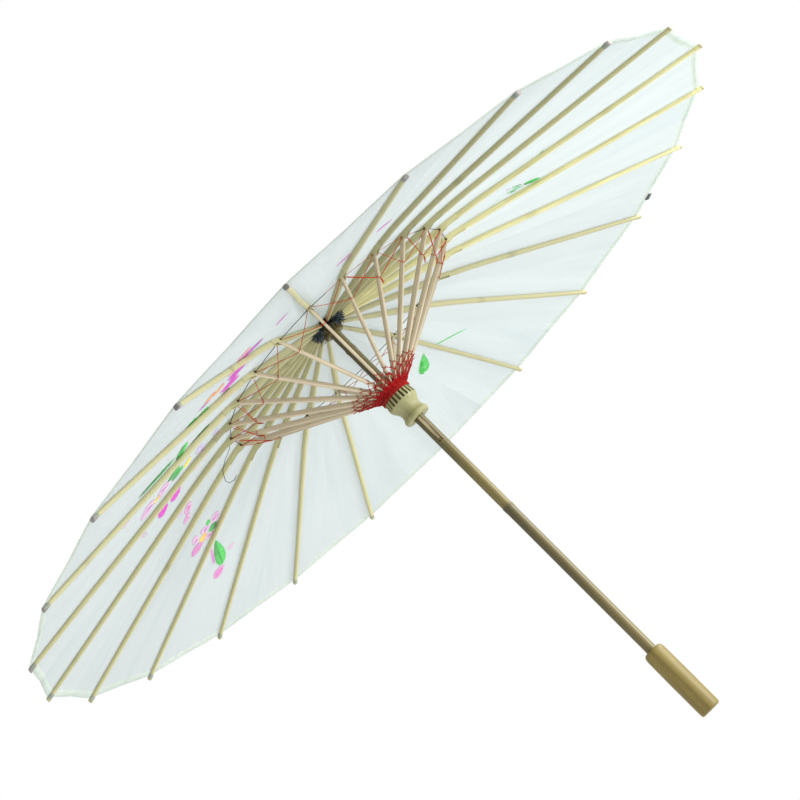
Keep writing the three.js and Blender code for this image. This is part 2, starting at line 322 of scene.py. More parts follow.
RIB_WOOD = wood("rib_bamboo", (0.72, 0.68, 0.35), (0.46, 0.42, 0.19), (25, 900, 900), 0.5,
                deep=1.0)
STRETCHER_WOOD = wood("stretcher_bamboo", (0.52, 0.44, 0.30), (0.38, 0.31, 0.21),
                      (25, 800, 800), 0.6)
RUNNER_WOOD = wood("turned_wood", (0.30, 0.29, 0.135), (0.21, 0.20, 0.08), (200, 200, 18), 0.5,
                   bump=0.1)
HANDLE_WOOD = wood("handle_wood", (0.205, 0.155, 0.03), (0.125, 0.088, 0.012), (160, 160, 12),
                   0.5, bump=0.12)
CATCH_WOOD = wood("catch_bamboo", (0.40, 0.33, 0.19), (0.26, 0.20, 0.10), (30, 600, 600), 0.5)
DARK_WOOD = wood("dark_bamboo", (0.205, 0.16, 0.042), (0.13, 0.10, 0.024), (200, 200, 5),
                 0.42, bump=0.02, deep=1.0)
RED = thread("red_thread", (0.62, 0.012, 0.012), (0.26, 0.003, 0.004))
LACE = thread("red_crossing_thread", (0.66, 0.07, 0.02), (0.36, 0.03, 0.01))
DARK = thread("dark_thread", (0.05, 0.065, 0.08), (0.010, 0.013, 0.018))
# paler copy of the dark thread for the tufts' middles: a painted sheen
TUFT = thread("frayed_ends", (0.42, 0.50, 0.56), (0.10, 0.125, 0.14))
PALE = thread("pale_thread", (0.85, 0.9, 0.85), (0.7, 0.75, 0.7))
CLOTH = cloth("canopy_cloth", (0.594, 0.663, 0.652), 0.12)
HEM = cloth("hem_cloth", (0.70, 0.77, 0.70), 0.22)
PAINT = watercolour("painted_blossom")
CAP = wood("rib_end_cap", (0.40, 0.38, 0.35), (0.27, 0.255, 0.235), (500, 500, 500), 0.7,
           deep=1.0)


# ---- meshes ----
class Piece:
    """Collects points (in millimetres), faces and the values its materials read."""

    def __init__(self, name, *materials):
        self.name, self.materials = name, materials
        self.points, self.faces, self.slots = [], [], []
        self.place, self.tone, self.tint, self.fade = [], [], [], []

    def point(self, at, place, tone=0.0, tint=(1, 1, 1), fade=1.0):
        self.points.append(Vector(at))
        self.place.append(Vector(place) * MM)
        self.tone.append(tone)
        self.tint.append((*tint, 1))
        self.fade.append(fade)
        return len(self.points) - 1

    def face(self, corners, slot=0):
        self.faces.append(corners)
        self.slots.append(slot)

    def loft(self, rings, slot=0, closed=False):
        """Skins rings of point numbers; open ends are capped."""
        for a, b in neighbours(rings, closed):
            for i in range(len(a)):
                j = (i + 1) % len(a)
                self.face((a[i], a[j], b[j], b[i]), slot)
        if not closed:
            self.face(tuple(reversed(rings[0])), slot)
            self.face(tuple(rings[-1]), slot)

    def skin(self, rows, slot=0, flip=False):
        """Skins rows of point numbers into an open sheet."""
        for a, b in neighbours(rows):
            for i in range(len(a) - 1):
                self.face((a[i], a[i + 1], b[i + 1], b[i]) if flip else
                          (a[i], b[i], b[i + 1], a[i + 1]), slot)

    def tube(self, path, radius, slot=0, sides=6, closed=False, ends=1.0):
        """A round thread along a path of points, thinned at its ends to the share ends."""
        path = [Vector(p) for p in path]
        rings, run = [], 0.0
        count = len(path)
        for i, at in enumerate(path):
            before = path[i - 1] if i or closed else at
            after = path[(i + 1) % count] if i + 1 < count or closed else at
            along = (after - before).normalized()
            side = along.cross(Vector((0.13, 0.21, 0.97))).normalized()
            up = along.cross(side)
            run += (at - path[i - 1]).length if i else 0
            thick = radius * (ends if not closed and i in (0, count - 1) else 1)
            rings.append([self.point(at + thick * (cos(t) * side + sin(t) * up),
                                     (run, thick * cos(t), thick * sin(t)))
                          for t in circle(sides)])
        self.loft(rings, slot, closed)

    def turn(self, angle):
        """Turns the whole piece round the shaft to its rib."""
        spin = Matrix.Rotation(angle, 3, "Z")
        self.points = [spin @ p for p in self.points]
        return self

    def make(self, smooth=True):
        mesh = bpy.data.meshes.new(self.name)
        mesh.from_pydata([p * MM for p in self.points], [], self.faces)
        for material in self.materials:
            mesh.materials.append(material)
        mesh.polygons.foreach_set("material_index", self.slots)
        mesh.polygons.foreach_set("use_smooth", [smooth] * len(self.faces))
        for name, kind, key in (("place", "FLOAT_VECTOR", "vector"), ("tone", "FLOAT", "value"),
                                ("tint", "FLOAT_COLOR", "color"), ("fade", "FLOAT", "value")):
            values = getattr(self, name)
            if key != "value":
                values = [number for value in values for number in value]
            mesh.attributes.new(name, kind, "POINT").data.foreach_set(key, values)
        mesh.validate()
        mesh.update()
        piece = bpy.data.objects.new(self.name, mesh)
        bpy.context.scene.collection.objects.link(piece)
        return piece


def sharpen(piece, degrees):
    """Smooth shading that keeps the edges that bend by more than an angle."""
    piece.data.set_sharp_from_angle(angle=radians(degrees))
    return piece


def turned(name, material, profile, number, segments=96):
    """A lathe-turned solid from a (radius, height) profile that starts and ends on the axis
    or closes on itself. Each number has its own stretch of grain, which runs up the piece."""
    piece = Piece(name, material)
    closed = profile[0] == profile[-1]
    rings = []
    for r, z in profile[:-1] if closed else profile:
        if r == 0:
            rings.append([piece.point((0, 0, z), (number * 90, 0, z))])
            continue
        rings.append([
            piece.point((r * cos(t), r * sin(t), z), (r * cos(t) + number * 90, r * sin(t), z))
            for t in circle(segments)])
    for a, b in neighbours(rings, closed):
        for i in range(segments):
            j = (i + 1) % segments
            corners = [a[i % len(a)], a[j % len(a)], b[j % len(b)], b[i % len(b)]]
            piece.face(tuple(dict.fromkeys(corners)))
    return piece


def rounded(profile, radius):
    """The profile with the corners between its ends rounded off."""
    steps, out = 4, [profile[0]]
    for before, corner, after in zip(profile, profile[1:], profile[2:]):
        a, c, b = Vector(before), Vector(corner), Vector(after)
        size = min(radius, (a - c).length * 0.45, (b - c).length * 0.45)
        start, end = c + (a - c).normalized() * size, c + (b - c).normalized() * size
        for i in range(steps + 1):
            t = i / steps
            spot = (1 - t) ** 2 * start + 2 * t * (1 - t) * c + t * t * end
            out.append((spot.x, spot.y))
    return out + [profile[-1]]


def cut(target, cutter):
    """Subtracts cutter from target for good."""
    modifier = target.modifiers.new("cut", "BOOLEAN")
    modifier.operation, modifier.object, modifier.solver = "DIFFERENCE", cutter, "EXACT"
    bpy.context.view_layer.update()
    solid = bpy.data.meshes.new_from_object(
        target.evaluated_get(bpy.context.evaluated_depsgraph_get()))
    target.modifiers.clear()
    target.data = solid
    bpy.data.objects.remove(cutter)
    return target


# tones above 1 darken wood nearly to black: painted shade on the walls of the slots and of the
# catch's groove; the notch is dark wood all through
SLOT_SHADE, GROOVE_SHADE, NOTCH_TONE = 1.6, 1.7, 1.55


def slots(low, high, inner, outer, width):
    """One cutter with a box at every rib angle."""
    cutter = Piece("cutter")
    for k in range(1, RIBS + 1):
        spin = Matrix.Rotation(rib_angle(k), 3, "Z")
        rings = []
        for z in (low, high):
            corners = [(inner, -width / 2), (outer, -width / 2), (outer, width / 2),
                       (inner, width / 2)]
            rings.append([cutter.point(spin @ Vector((x, y, z)), (x, y, z), SLOT_SHADE)
                          for x, y in corners])
        cutter.loft(rings)
    return cutter.make(smooth=False)


def finish_piece(piece, body, slot, *nodes):
    """Puts a piece on its body, in the place of the frame's nodes."""
    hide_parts(*nodes)
    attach(piece, body)
    return piece


# ---- handle, shaft and the turned pieces ----
SOCKET_R, SOCKET_Z = SHAFT_R + 0.25, HANDLE_TOP - 4
handle_profile = [(0, 0), (9.0, 0), (10.1, 1.3), (10.25, 6), (10.3, 40), (10.1, HANDLE_TOP - 5),
                  (9.5, HANDLE_TOP - 2), (7.6, HANDLE_TOP - 0.2), (SOCKET_R, HANDLE_TOP),
                  (SOCKET_R, SOCKET_Z), (0, SOCKET_Z)]
handle = sharpen(turned("handle_looks", HANDLE_WOOD, rounded(handle_profile, 1.6), 1).make(), 50)
finish_piece(handle, "pole", "turned_wood", "handle")

shaft_low, shaft_high = heights("shaft")
NODES_Z = (247, 452)  # the cane's joints
# the cane is darker up to its lower joint and pale for a while above it
SHAFT_TONE = [(60, 0.75), (120, 0.95), (165, 1.25), (205, 1.2), (244, 1.42), (248, 1.45),
         (252, 0.0), (285, 0.1), (310, 0.85), (345, 1.2), (480, 1.2)]
SHAFT_STEPS = 159
shaft_profile = [(0, shaft_low)]
for i in range(SHAFT_STEPS + 1):
    z = shaft_low + (shaft_high - shaft_low) * i / SHAFT_STEPS
    swell = sum(0.45 * bell(z - n, 2.2) - 0.18 * bell(z - n - 5, 2.5) for n in NODES_Z)
    shaft_profile.append((SHAFT_R - 0.05 + swell, z))
shaft_profile.append((0, shaft_high))
shaft = turned("shaft_looks", DARK_WOOD, shaft_profile, 2, 64)
for i, p in enumerate(shaft.points):
    shaft.tone[i] = max(0, table(SHAFT_TONE, p.z) - 0.45 * p.x / SHAFT_R)  # paler on the side towards the key light and darker away from it: painted light and shade
shaft = shaft.make()
groove = Piece("groove")
catch_low, catch_high = heights("spring_catch")
groove_section = [(-2.1, -9), (2.1, -9), (2.1, -0.6), (-2.1, -0.6)]
# the groove's walls take painted shade
groove.loft([[groove.point((x, y, z), (x, y, z), GROOVE_SHADE) for x, y in groove_section]
             for z in (catch_low - 1, catch_high + 4)])
shaft = sharpen(cut(shaft, groove.make(False)), 30)
finish_piece(shaft, "pole", "dark_bamboo", "shaft")

catch = Piece("catch_looks", CATCH_WOOD)
lean = [(0, 2.9), (0.35, 4.0), (0.72, 5.4), (0.94, 6.2), (1.0, 6.2)]  # (share of length, out)
rings = []
for share, out in lean:
    z = catch_low + share * (catch_high - catch_low)
    half, thick = (1.55, 1.5) if share < 0.9 else (1.4, 1.9)
    rings.append([catch.point((x, y, z), (z, x, y)) for x, y in (
        (-half, -out), (half, -out), (half, thick - out), (-half, thick - out))])
catch.loft(rings)
catch = catch.make(smooth=False)
bevel = catch.modifiers.new("soft edges", "BEVEL")
bevel.width, bevel.segments = 0.35 * MM, 2
finish_piece(catch, "catch", "rib_bamboo", "spring_catch")

low, high = RUNNER_LOW, RUNNER_HIGH
runner_profile = [(5.7, low), (11.9, low), (13.1, low + 1.2), (13.1, low + 4.2), (11.6, low + 6.4),
                  (10.9, low + 9), (11.0, low + 12), (12.6, low + 15.5), (14.8, low + 18.4),
                  (15.5, low + 21.0), (15.2, low + 23.4), (14.7, low + 26), (14.5, FOOT_Z + 3),
                  (13.2, high - 3), (10.6, high), (5.7, high), (5.7, low)]
runner = turned("runner_looks", RUNNER_WOOD, rounded(runner_profile, 1.5), 3, 176).make()
runner = cut(runner, slots(low + 20.2, high + 2, 10.2, 18, 2.2))
finish_piece(sharpen(runner, 38), "runner", "turned_wood", "runner")

winding = Piece("runner_winding", RED)
rng = random.Random(21)
for turn in range(13):
    z = FOOT_Z - 7.0 + 0.6 * turn
    out = 15.35 + 0.35 * (turn % 2) - 0.03 * turn
    slope, start = rng.uniform(-0.5, 0.5), rng.uniform(0, 6)
    winding.tube([(out * cos(t), out * sin(t), z + slope * sin(t + start))
                  for t in circle(66)], 0.36, sides=5, closed=True)
finish_piece(winding.make(), "runner", "red_thread", "runner_thread")

notch_profile = [(5.5, NOTCH_LOW), (9.6, NOTCH_LOW), (10.6, NOTCH_LOW + 1), (10.6, NOTCH_LOW + 3),
                 (13.3, NOTCH_LOW + 6), (13.3, NOTCH_HIGH - 1.2), (12.1, NOTCH_HIGH),
                 (5.5, NOTCH_HIGH), (5.5, NOTCH_LOW)]
notch = turned("notch_looks", DARK_WOOD, rounded(notch_profile, 0.7), 4, 132)
notch.tone = [NOTCH_TONE] * len(notch.points)
notch = notch.make()
notch = cut(notch, slots(NOTCH_LOW - 1, HUB_Z + 3, 8.3, 15, 2.0))
finish_piece(sharpen(notch, 38), "pole", "turned_wood", "top_notch")

finial_low, finial_high = heights("finial")
finial_profile = [(5.5, finial_low), (9.6, finial_low), (10.6, finial_low + 1),
                  (10.6, finial_low + 3), (8.2, finial_low + 5), (8.4, finial_low + 8),
                  (10, finial_low + 13), (10.2, finial_low + 17), (8.8, finial_low + 22),
                  (5.6, finial_low + 27), (3.4, finial_low + 30), (2.4, finial_high - 1),
                  (0, finial_high)]
finial = turned("finial_looks", RUNNER_WOOD, rounded(finial_profile, 2.5), 5).make()
finish_piece(sharpen(finial, 50), "pole", "turned_wood", "finial")

CROWN_CELLS = 6
CROWN = [(5.8, NOTCH_HIGH + 0.5), (8, NOTCH_HIGH + 0.6), (10.5, NOTCH_HIGH + 0.6),
         (12.6, NOTCH_HIGH + 0.5), (14.6, NOTCH_HIGH + 0.3), (16.8, rib_top(16.8) + 1.9),
         (19, rib_top(19) + 1.7), (21.5, rib_top(21.5) + 1.6), (24, rib_top(24) + 1.5)]


def make_crown(k):
    """The part of the round patch over one rib. Its middle lies flat over the notch, and beyond it
    the patch bends down over the rib."""
    piece = Piece(f"crown_{k:02d}", HEM)
    rows = []
    for r, height in CROWN:
        spread = max(0.0, r - 13) / 11
        lap = bell(r - 15, 3.5)  # each part laps over the next where it bends
        row = []
        for i in range(CROWN_CELLS + 1):
            share = i / CROWN_CELLS - 0.5
            t = PITCH * share * (1 + 0.32 * lap)
            z = height - 0.35 * spread * cos(RIBS * t) + 0.3 * lap * share
            row.append(piece.point((r * cos(t), r * sin(t), z), (r, r * t + 40 * k, 0)))
        rows.append(row)
    piece.skin(rows)
    made = piece.turn(rib_angle(k)).make()
    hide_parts("crown_cover")
    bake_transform(made)


for k in range(1, RIBS + 1):
    make_crown(k)

# ---- ribs ----
# a rib's width and how deep it is under its middle line, by the distance from the shaft
WIDTH = [(8, 1.5), (17, 1.5), (31, 2.5), (71, 3.5), (111, 4.6), (135, 4.6), (142, 4.3),
         (148, 4.0), (158, 4.3), (180, 4.2), (300, 4.2), (411, 4.0)]
UNDER = [(8.9, 1.4), (10.2, 2.2), (60, 2.7), (115, 3.3), (JOINT_R + 2, 3.2), (JOINT_R + 8, 1.5),
         (JOINT_R + 15, 1.6), (JOINT_R + 26, 2.5), (JOINT_R + 44, 2.4), (300, 2.1), (411, 1.9)]
# how dark each rib is: painted light and shade, paler on ribs 16 to 18 where the light falls most
# and darker on the rest
RIB_PAINTED_LIGHT = [(1, 0.72), (5, 0.7), (7, 1.1), (9, 1.02), (11, 1.0), (13, 1.14), (14.5, 1.05),
            (16, 0.1), (17, 0.0), (18, 0.12), (19, 1.1), (21, 1.08), (22, 0.85)]
CAP_TONE = {7: 1.0, 8: 1.0, 9: 1.0, 10: 1.45, 11: 1.45, 12: 1.0, 13: 0.3, 14: 0.3}
BARE_TONE = 1.15  # of a tip without a cap
NO_POCKET = range(15, 22)  # ribs whose tips have no cloth pocket
FORK_IN, FORK_OUT, FORK_GAP = 9.0, 20.0, 3.0
FORK_WIDTH = 4.7
CORNERS = 12


def section(half, bottom, top, soft=0.6):
    """Points round a softened rectangle, as (across, height)."""
    out = []
    for j in range(CORNERS):
        t = 2 * pi * (j + 0.5) / CORNERS
        c, s = cos(t), sin(t)
        c = copysign(abs(c) ** soft, c)
        s = copysign(abs(s) ** soft, s)
        out.append((c * half, (top + bottom) / 2 + s * (top - bottom) / 2))
    return out


def stations(start, end, step):
    """Even places from start to end, about a step apart."""
    count = max(2, round((end - start) / step) + 1)
    return [start + (end - start) * i / (count - 1) for i in range(count)]


def make_rib(k):
    rng = random.Random(100 + k)
    piece = Piece(f"rib_{k:02d}_looks", RIB_WOOD, CAP, HEM)
    knots = [rng.uniform(40, 110), rng.uniform(200, 390)]
    sway = [rng.uniform(-0.5, 0.5) for _ in range(3)]
    grow = rng.uniform(0.95, 1.06)
    # painted light and shade by rib, with a little random spread
    shade = table(RIB_PAINTED_LIGHT, k) + rng.uniform(-0.08, 0.08)

    def ring(r, shift=0.0, width=None, trim=1.0, tone=None):
        node = sum(bell(r - n, 2.0) for n in knots)
        free = table([(60, 0), (110, 0.2), (200, 1), (330, 1), (TIP_R, 0)], r)
        side = shift + free * (sway[0] * sin(r / 47) + sway[1] * sin(r / 83))
        half = (width or table(WIDTH, r) * grow) / 2 * trim + 0.15 * node * (width is None)
        bottom = rib_line(r) - (table(UNDER, r) + 0.25 * node) * trim
        top = rib_line(r) + (rib_top(r) - rib_line(r)) * trim
        return [piece.point((r, side + y, z), (r + 430 * k, y, z - rib_line(r)),
                            tone or min(1.4, shade + 0.45 * node))
                for y, z in section(half, bottom, top)]

    piece.loft([ring(r) for r in stations(8.9, JOINT_R - FORK_IN + 0.6, 6)])
    cheek = (FORK_WIDTH - FORK_GAP) / 2
    for side in (-1, 1):
        piece.loft([ring(r, side * (FORK_GAP + cheek) / 2, cheek)
                    for r in stations(JOINT_R - FORK_IN, JOINT_R + FORK_OUT + 0.6, 4)])
    end = TIP_R - 2.4
    piece.loft([ring(r) for r in stations(JOINT_R + FORK_OUT, end, 8)])
    pocket = [(end - 6, 1.04), (end - 5, 1.12), (end - 2.5, 1.16), (end - 1.2, 1.16)]
    piece.loft([ring(r, trim=t) for r, t in pocket], slot=0 if k in NO_POCKET else 2)
    cap = [(end - 1.6, 0.9), (end - 1.4, 1.1), (end + 0.8, 1.2), (end + 1.3, 1.0)]
    piece.loft([ring(r, trim=t, tone=CAP_TONE.get(k, BARE_TONE)) for r, t in cap],
               slot=1 if k in CAP_TONE else 0)
    rib = sharpen(piece.turn(rib_angle(k)).make(), 50)
    return finish_piece(rib, f"rib_{k:02d}", "rib_bamboo", f"rib_{k:02d}")


# ---- stretchers and their red threads ----
DIRECTION = Vector((cos(STRETCHER_ANGLE), 0, sin(STRETCHER_ANGLE)))
OUTWARD = Vector((sin(STRETCHER_ANGLE), 0, -cos(STRETCHER_ANGLE)))
FOOT = Vector((FOOT_R, 0, FOOT_Z))
JOINT = Vector((JOINT_R, 0, JOINT_Z))
KNOT_AT = STRETCHER_LENGTH - 24
LONG_KNOTS = (5, 6, 7, 13, 15, 16)  # stretchers where the thread was tied off with a thick end
RED_RING = (12, 13, 14)  # where the ring thread was mended with thin red thread
LOOSE_END = 6  # the rib beside which the dark ring thread ends in a long loose tail


def on_stretcher(along, outward=0.0, across=0.0, turn=0):
    """A point on the stretcher that stands turn places round from this one."""
    at = FOOT + along * DIRECTION + outward * OUTWARD + Vector((0, across, 0))
    return Matrix.Rotation(turn * PITCH, 3, "Z") @ at


def make_stretcher(k):
    rng = random.Random(300 + k)
    piece = Piece(f"stretcher_{k:02d}_looks", STRETCHER_WOOD)
    length = STRETCHER_LENGTH
    shade = rng.uniform(0.0, 0.4) + table([(16, 0.0), (18, 0.7), (21, 0.7), (22, 0.2)], k)
    knot = rng.uniform(40, 100)
    rings = []
    for s in [-2.0, -1.2, 0, 3, 8, 14, *stations(20, length - 20, 6), length - 8, length,
              length + 1.2, length + 1.9]:
        width = table([(-2, 1.5), (16, 1.8), (30, 3.0), (length - 50, 3.0), (length - 38, 2.6),
                       (length + 2, 2.5)], s)
        deep = table([(-2, 1.2), (0, 4.2), (12, 4.9), (length - 60, 5.0), (length - 20, 4.6),
                      (length, 4.4), (length + 1.2, 3.6), (length + 1.9, 2.2)], s)
        node = bell(s - knot, 1.8)
        rings.append([
            piece.point(on_stretcher(s, -z, y), (s + 170 * k, y, z), min(1, shade + 0.6 * node))
            for y, z in section(width / 2, -deep / 2, deep / 2, 0.5)])
    piece.loft(rings)
    stretcher = sharpen(piece.turn(rib_angle(k)).make(), 50)
    finish_piece(stretcher, f"stretcher_{k:02d}", "stretcher_bamboo", f"stretcher_{k:02d}")


def sagging(a, b, sag, steps=6):
    """Points of a slack thread between two places."""
    shares = [i / steps for i in range(steps + 1)]
    return [a.lerp(b, t) + Vector((0, 0, -4 * sag * t * (1 - t))) for t in shares]


def wrap(piece, along, radius, deep, slot=0):
    """Thread wound once round the stretcher."""
    turns = [2 * pi * i / 10 for i in range(11)]
    piece.tube([on_stretcher(along + i * 0.07, deep * cos(t), 1.7 * sin(t))
                for i, t in enumerate(turns)], radius, slot=slot, sides=5)


def make_net(k):
    """Red lacing that belongs to one stretcher: windings over the feet, the net above them
    and the crossed threads near the rib."""
    rng = random.Random(500 + k)
    piece = Piece(f"red_lacing_{k:02d}", RED, LACE)
    half = PITCH / 2
    for i in range(8):
        along = 1.6 + 0.62 * i
        out = 2.6 + 0.45 * (i % 3) * rng.uniform(0.5, 1.0)
        path = []
        for j in range(-5, 6):
            spin = Matrix.Rotation(half * j / 4.8, 3, "Z")
            bulge = 0.35 * cos(pi * j / 5)
            path.append(spin @ on_stretcher(along + rng.uniform(-0.2, 0.2), out + bulge))
        piece.tube(path, 0.38, sides=5)
    for side in (-1, 1):  # slanting threads to a neighbour, the long one on to the next
        for middle, end in ((16.0, 25.5), (9.5, 18.5)):
            shift = rng.uniform(-1.0, 1.0)
            stops = [on_stretcher(6.2, 2.9, side * 0.8),
                     on_stretcher(middle + shift, 2.9, -side * 0.9, side)]
            if (k + side) % 2 or middle > 10:
                stops += [on_stretcher(middle + 1.2 + shift, 2.9, side * 0.9, side),
                          on_stretcher(end + shift, 2.7, -side * 0.9, 2 * side)]
            piece.tube(stops, 0.34, sides=5)
    for level in (16.5, 25.5):
        at = level + rng.uniform(-1.0, 1.0)
        wrap(piece, at, 0.3, 2.75)
        tail = on_stretcher(at + rng.uniform(2.0, 4.0), 3.6, rng.uniform(-1.6, 1.6))
        piece.tube([on_stretcher(at, 2.8), tail], 0.28, sides=5)
    wrap(piece, KNOT_AT, 0.26, 2.6, slot=1)
    for side in (-1, 1):
        start = on_stretcher(KNOT_AT + 0.4, 2.4, side * 1.2)
        end = on_stretcher(STRETCHER_LENGTH, 1.0, -side * 2.6, side)
        piece.tube(sagging(start, end, rng.uniform(0.1, 0.8)), 0.3, slot=1, sides=5)
        if k in LONG_KNOTS:  # doubled there
            end = end + Vector((rng.uniform(-3, 0), 0, rng.uniform(-1, 1)))
            piece.tube(sagging(start, end, 0.4), 0.3, slot=1, sides=5)
    if k in LONG_KNOTS:
        piece.tube([on_stretcher(KNOT_AT, 2.9), on_stretcher(KNOT_AT - 3, 4.0, 0.8),
                    on_stretcher(KNOT_AT - 6.5, 4.6, 1.4)], 0.75, slot=1, sides=6, ends=0.5)
    return piece.turn(rib_angle(k)).make()


def make_ring_thread(k):
    """The dark thread through the forks, from half way before this rib to half way after."""
    reddish = k in RED_RING
    piece = Piece(f"ring_thread_{k:02d}", LACE if reddish else DARK)
    edge = JOINT_R * cos(PITCH / 2)
    spread = JOINT_R * sin(PITCH / 2) * cos(PITCH / 2)
    for side in (-1, 1):
        far = Vector((edge * cos(PITCH / 2), side * spread, JOINT_Z))
        piece.tube(sagging(JOINT, far, 0.15, 3), 0.2 if reddish else 0.32, sides=6)
        knob = [(JOINT_R + 0.9 * cos(t), side * 2.6, JOINT_Z + 0.9 * sin(t)) for t in circle(9)]
        piece.tube(knob, 0.2 if reddish else 0.38, sides=5, closed=True)
    piece.turn(rib_angle(k))
    if k == LOOSE_END:
        piece.tube([on_cloth(polar(r, degrees), lift) for r, degrees, lift in (
            (137, 186, -1.2), (142, 181, -2), (153.5, 179, -3.5), (162.5, 176, -5),
            (171, 170, -7), (173.5, 166, -7), (171, 163.3, -7), (165.8, 163.5, -7))], 0.3,
            sides=4)
    return piece.make()


def make_rim_thread(k):
    """The pale thread inside the hem, from half way before this rib to half way after."""
    piece = Piece(f"rim_thread_{k:02d}", PALE)
    piece.tube([cloth_point(RIM_R, share, 0.1) for share in (-1, -0.5, -0.1, 0.1, 0.5, 1)],
               0.3, sides=5)
    return piece.turn(rib_angle(k)).make()


# ---- the canopy ----
HEM_WIDTH = 7.5
CLOTH_IN = 14.6
CLOTH_RINGS = [CLOTH_IN, 22, 34, 50, 70, 90, 112, 126, *stations(JOINT_R, JOINT_R + BEND, 7.5),
               *stations(210, CLOTH_R - HEM_WIDTH, 14), CLOTH_R - 4.5, CLOTH_R - 2,
               CLOTH_R - 0.6, CLOTH_R]
ACROSS, HEM_ACROSS = 16, 8  # cells across a gore, and across half of its folded hem
# how much darker the cloth over each rib is: painted shade, darkest on the gores that the lamps
# light least
GORE_PAINTED_SHADE = [(1, 0.22), (3, 0.25), (6, 0.27), (9, 0.24), (12, 0.2), (13.4, 0.06), (15, 0.0),
             (17, 0.0), (18, 0.08), (19, 0.19), (20, 0.1), (21, 0.1), (22, 0.18)]
TAPED_RIB = 19  # the rib beside which a scrap of dark tape is folded over the rim
INK = (0.06, 0.07, 0.08)


def cloth_point(r, share, lift):
    """A point of the cloth over a rib that lies along +X. Share runs from -1 to 1, from one
    middle between ribs to the next."""
    side = copysign(1, share)
    rib = Vector((r, 0))
    middle = Vector((r * cos(PITCH / 2) ** 2, r * cos(PITCH / 2) * sin(PITCH / 2)))
    spot = rib.lerp(middle, abs(share))
    near_rim = max(0.0, (r - 300) / (CLOTH_R - 300))
    hollow = 1.6 * near_rim**3 * share * share  # the rim draws in a little between ribs
    x = spot.x - hollow * cos(PITCH / 2)
    return Vector((x, side * spot.y, rib_top(r) + lift))


def make_gore(k):
    """The cloth and hem over one rib. Painted shade darkens the cloth near the rim, most round
    ribs 11 and 12, and darkens the folded-under hem there.
    """
    piece = Piece(f"canopy_{k:02d}", CLOTH, HEM, PAINT)
    far = bell(k - 11.5, 2.2)
    rim_shade = 0.06 + 0.1 * far

    def shade(r):
        return table(GORE_PAINTED_SHADE, k) + rim_shade * min(1, max(0, (r - 330) / 45))

    body = [r for r in CLOTH_RINGS if r <= CLOTH_R - HEM_WIDTH + 0.01]
    hem = [r for r in CLOTH_RINGS if r >= CLOTH_R - HEM_WIDTH - 0.01]
    for slot, rings in enumerate((body, hem)):
        rows = []
        for r in rings:
            spots = [cloth_point(r, 2 * i / ACROSS - 1, LIFT) for i in range(ACROSS + 1)]
            rows.append([piece.point(at, (r, at.y + 130 * k, 0), shade(r)) for at in spots])
        piece.skin(rows, slot)
    for side in (-1, 1):  # the folded-under layer stops short of the rib on both sides
        rows = []
        for r, drop in [(CLOTH_R, 0.0), (CLOTH_R - 0.5, 0.7), (CLOTH_R - 3.5, 1.0),
                        (CLOTH_R - 6.6, 0.7), (CLOTH_R - HEM_WIDTH + 0.3, 0.35)]:
            row = []
            for i in range(HEM_ACROSS + 1):
                share = side * (0.06 + 0.94 * i / HEM_ACROSS)
                at = cloth_point(r, share, LIFT - drop)
                at.z += 0.05 * drop * sin(i * 2.3 + k * 1.7 + r)
                # painted shade on the folded-under hem, deepest round ribs 11 and 12
                row.append(piece.point(at, (r + 20, at.y + 130 * k, 0), 0.04 + 0.55 * far))
            rows.append(row)
        piece.skin(rows, 1, flip=True)
    if k == TAPED_RIB:
        tape = [(-2.4, -1.3), (1.3, -1.3), (1.5, 1.6), (-2.4, 1.6)]
        piece.loft([[piece.point(at, tuple(at), tint=INK, fade=3.0) for at in (
            cloth_point(CLOTH_R + out, share, lift) for out, lift in tape)]
            for share in (-0.66, -0.6, -0.54, -0.5)], slot=2)
    return piece.turn(rib_angle(k))


# ---- painted blossoms ----
MAGENTA, PINK, BLUSH = (0.80, 0.07, 0.66), (0.86, 0.42, 0.69), (0.88, 0.60, 0.76)
PURPLE, LAVENDER, CORAL = (0.50, 0.14, 0.60), (0.74, 0.62, 0.90), (0.98, 0.36, 0.24)
LEAF, MOSS = (0.07, 0.70, 0.10), (0.05, 0.30, 0.07)
YELLOW, ORANGE = (0.98, 0.85, 0.12), (0.98, 0.55, 0.16)
LAYERS = itertools.cycle([*range(1, 14), 0])  # the layer of each next brush mark


def gore_at(x, y):
    """The number of the gore over a flat spot."""
    k = round((atan2(y, x) - pi / 2) / PITCH) % RIBS
    return k or RIBS


def polar(r, degrees):
    """The flat spot at a distance from the shaft and an angle from +X."""
    return Vector((r * cos(radians(degrees)), r * sin(radians(degrees))))


def lay(grid, tints, fades):
    """Lays a grid of paint under and over the cloth, on the gore below its middle. Each
    one lies a hair further out than the one before, so that marks can cross."""
    raised = 0.012 * next(LAYERS)
    centre = sum((p for row in grid for p in row), Vector((0, 0))) / sum(map(len, grid))
    piece = gores[gore_at(*centre)]
    for lift in (0.36 - raised, 0.8 + raised):
        rows = []
        for row, tint_row, fade_row in zip(grid, tints, fades):
            rows.append([piece.point(on_cloth(p, lift), (p.x, p.y, 0), tint=t, fade=f)
                         for p, t, f in zip(row, tint_row, fade_row)])
        piece.skin(rows, 2)


